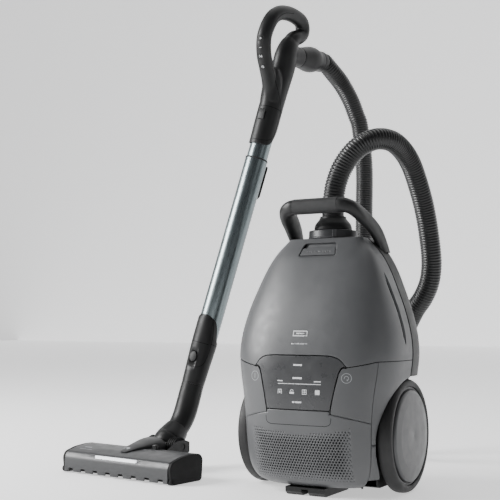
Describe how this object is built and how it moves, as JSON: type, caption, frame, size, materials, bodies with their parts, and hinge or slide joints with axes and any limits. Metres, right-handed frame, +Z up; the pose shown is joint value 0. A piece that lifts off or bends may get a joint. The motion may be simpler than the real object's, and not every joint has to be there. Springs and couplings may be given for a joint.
{
  "type": "canister vacuum cleaner",
  "caption": "Canister vacuum cleaner parked on its rear end, with a stiff hose arching to a loop grip, a telescopic wand leaning beside it and a hinged floor nozzle.",
  "frame": {"origin": "middle of the flat underside of the standing foot, on the floor, under the middle of the canister", "axes": "+Z up; the lid, control panel and pedals face -Y; the wand and floor nozzle stand on the -X side; the hose is behind at +Y"},
  "size_m": [0.6751, 0.6236, 0.9436],
  "materials": {
    "grey_shell": "satin",
    "dark_shell": "satin",
    "panel_gloss": "gloss",
    "soft_grip": "matte",
    "tyre": "matte",
    "hose": "satin",
    "anodised_tube": "satin",
    "nozzle_grey": "satin",
    "lamp_lens": "gloss",
    "button_grey": "satin",
    "steel": "satin",
    "motor_can": "satin",
    "rubber": "matte",
    "filter_medium": "matte",
    "bag_cloth": "matte",
    "inner_plastic": "matte",
    "circuit_board": "matte",
    "bristle": "matte"
  },
  "bodies": {
    "canister": {"chassis": "dark_shell", "side_shell_left": "grey_shell", "side_shell_right": "grey_shell", "control_panel": "panel_gloss", "standing_foot": "dark_shell", "display_board": "circuit_board", "carry_handle": "dark_shell", "carry_handle_grip": "soft_grip", "inlet_collar": "dark_shell", "motor_housing": "motor_can", "motor_mount": "rubber", "fan_shroud": "inner_plastic", "cord_outlet": "rubber", "exhaust_filter": "filter_medium", "motor_filter": "filter_medium", "dust_bag": "bag_cloth", "bag_holder": "inner_plastic", "hose": "hose", "outer_tube": "anodised_tube", "neck_sleeve": "dark_shell", "neck_elbow": "dark_shell"},
    "lid": {"lid": "grey_shell", "lid_seal": "rubber"},
    "lid_latch": {"lid_latch_button": "grey_shell"},
    "power_pedal": {"power_pedal": "grey_shell"},
    "rewind_pedal": {"rewind_pedal": "grey_shell"},
    "filter_cover": {"filter_cover": "grey_shell"},
    "wheel_left": {"wheel_left": "grey_shell", "tyre_left": "tyre"},
    "wheel_right": {"wheel_right": "grey_shell", "tyre_right": "tyre"},
    "caster_fork": {"caster_fork": "dark_shell"},
    "caster_wheel": {"caster_wheel": "tyre"},
    "motor_fan": {"motor_fan": "motor_can"},
    "cable_reel": {"cable_reel": "inner_plastic"},
    "hose_cuff": {"hose_cuff_inlet": "dark_shell"},
    "handle": {"inner_tube": "anodised_tube", "handle_body": "dark_shell"},
    "handle_cuff": {"hose_cuff_handle": "dark_shell"},
    "plus_button": {"plus_button": "button_grey"},
    "minus_button": {"minus_button": "button_grey"},
    "mode_button": {"mode_button": "button_grey"},
    "power_button": {"power_button": "button_grey"},
    "handle_release": {"handle_release_button": "button_grey"},
    "tube_latch": {"tube_latch": "dark_shell"},
    "neck_release": {"neck_release_button": "button_grey"},
    "neck_base": {"neck_base": "dark_shell"},
    "nozzle": {"nozzle_cover": "nozzle_grey", "lamp_lens": "lamp_lens", "end_cap_left": "dark_shell", "end_cap_right": "dark_shell", "nozzle_base": "dark_shell", "brush_motor": "motor_can", "nozzle_hump": "nozzle_grey", "nozzle_rear_frame": "dark_shell", "nozzle_axle": "steel"},
    "brush_roll": {"brush_roll": "bristle"},
    "mode_slider": {"mode_slider": "dark_shell"},
    "nozzle_wheel_left": {"nozzle_wheel_left": "tyre"},
    "nozzle_wheel_right": {"nozzle_wheel_right": "tyre"}
  },
  "joints": [
    {"name": "lid_hinge", "type": "hinge", "parent": "canister", "child": "lid", "pos_m": [0, -0.108, 0.215], "axis": [1, 0, 0], "range_deg": [0, 80]},
    {"name": "lid_latch_press", "type": "slide", "parent": "lid", "child": "lid_latch", "axis": [0, 1, 0], "range_m": [0, 0.0025], "stiffness_N_per_m": 500},
    {"name": "power_pedal_press", "type": "hinge", "parent": "canister", "child": "power_pedal", "pos_m": [-0.1235, -0.075, 0.18], "axis": [0, 0, 1], "range_deg": [0, 3], "stiffness_Nm_per_rad": 5},
    {"name": "rewind_pedal_press", "type": "hinge", "parent": "canister", "child": "rewind_pedal", "pos_m": [0.1235, -0.075, 0.18], "axis": [0, 0, -1], "range_deg": [0, 3], "stiffness_Nm_per_rad": 5},
    {"name": "filter_cover_hinge", "type": "hinge", "parent": "canister", "child": "filter_cover", "pos_m": [0, -0.082, 0.0165], "axis": [1, 0, 0], "range_deg": [0, 60]},
    {"name": "wheel_left_spin", "type": "hinge", "parent": "canister", "child": "wheel_left", "pos_m": [-0.13, 0.032, 0.096], "axis": [1, 0, 0], "continuous": true},
    {"name": "wheel_right_spin", "type": "hinge", "parent": "canister", "child": "wheel_right", "pos_m": [0.13, 0.032, 0.096], "axis": [1, 0, 0], "continuous": true},
    {"name": "caster_swivel", "type": "hinge", "parent": "canister", "child": "caster_fork", "pos_m": [0, 0.111, 0.36], "axis": [0, 1, 0], "continuous": true},
    {"name": "caster_spin", "type": "hinge", "parent": "caster_fork", "child": "caster_wheel", "pos_m": [0, 0.1245, 0.352], "axis": [1, 0, 0], "continuous": true},
    {"name": "motor_spin", "type": "hinge", "parent": "canister", "child": "motor_fan", "pos_m": [0.036, 0.024, 0.153], "axis": [0, 0, 1], "continuous": true},
    {"name": "reel_spin", "type": "hinge", "parent": "canister", "child": "cable_reel", "pos_m": [-0.0775, 0.022, 0.108], "axis": [1, 0, 0], "continuous": true},
    {"name": "inlet_swivel", "type": "hinge", "parent": "canister", "child": "hose_cuff", "pos_m": [0, 0.034, 0.452], "axis": [0, 0, 1], "continuous": true},
    {"name": "wand_extend", "type": "slide", "parent": "canister", "child": "handle", "axis": [0.2074, 0.1798, 0.9616], "range_m": [0, 0.27], "deforming": ["hose"]},
    {"name": "handle_swivel", "type": "hinge", "parent": "handle", "child": "handle_cuff", "pos_m": [-0.19533, 0.28315, 0.85224], "axis": [0.1073, 0.9888, 0.1039], "continuous": true},
    {"name": "plus_press", "type": "slide", "parent": "handle", "child": "plus_button", "axis": [-0.0222, 0.9948, 0.0994], "range_m": [0, 0.0015], "stiffness_N_per_m": 300},
    {"name": "minus_press", "type": "slide", "parent": "handle", "child": "minus_button", "axis": [0.005, 0.9473, 0.3203], "range_m": [0, 0.0015], "stiffness_N_per_m": 300},
    {"name": "mode_press", "type": "slide", "parent": "handle", "child": "mode_button", "axis": [0.0126, 0.893, 0.4499], "range_m": [0, 0.0015], "stiffness_N_per_m": 300},
    {"name": "power_press", "type": "slide", "parent": "handle", "child": "power_button", "axis": [0.0056, 0.7841, 0.6206], "range_m": [0, 0.0015], "stiffness_N_per_m": 300},
    {"name": "handle_release_press", "type": "slide", "parent": "handle", "child": "handle_release", "axis": [0.0473, 0.98, -0.1934], "range_m": [0, 0.002], "stiffness_N_per_m": 400},
    {"name": "tube_latch_press", "type": "slide", "parent": "canister", "child": "tube_latch", "axis": [-0.2074, -0.1798, -0.9616], "range_m": [0, 0.008], "stiffness_N_per_m": 700},
    {"name": "neck_release_press", "type": "slide", "parent": "canister", "child": "neck_release", "axis": [0.0473, 0.98, -0.1934], "range_m": [0, 0.002], "stiffness_N_per_m": 400},
    {"name": "neck_swivel", "type": "hinge", "parent": "canister", "child": "neck_base", "pos_m": [-0.36215, 0.07547, 0.07643], "axis": [0.1066, 0.7586, 0.6428], "range_deg": [-45, 45]},
    {"name": "nozzle_pitch", "type": "hinge", "parent": "neck_base", "child": "nozzle", "pos_m": [-0.36695, 0.04133, 0.0475], "axis": [0.9903, -0.1392, 0], "range_deg": [-45, 45]},
    {"name": "brush_spin", "type": "hinge", "parent": "nozzle", "child": "brush_roll", "pos_m": [-0.38177, -0.06413, 0.0235], "axis": [0.9903, -0.1392, 0], "continuous": true},
    {"name": "mode_slide", "type": "slide", "parent": "nozzle", "child": "mode_slider", "axis": [0.9903, -0.1392, 0], "range_m": [0, 0.01]},
    {"name": "nozzle_wheel_left_spin", "type": "hinge", "parent": "nozzle", "child": "nozzle_wheel_left", "pos_m": [-0.36771, 0.03589, 0.0165], "axis": [0.9903, -0.1392, 0], "continuous": true},
    {"name": "nozzle_wheel_right_spin", "type": "hinge", "parent": "nozzle", "child": "nozzle_wheel_right", "pos_m": [-0.36771, 0.03589, 0.0165], "axis": [0.9903, -0.1392, 0], "continuous": true}
  ]
}
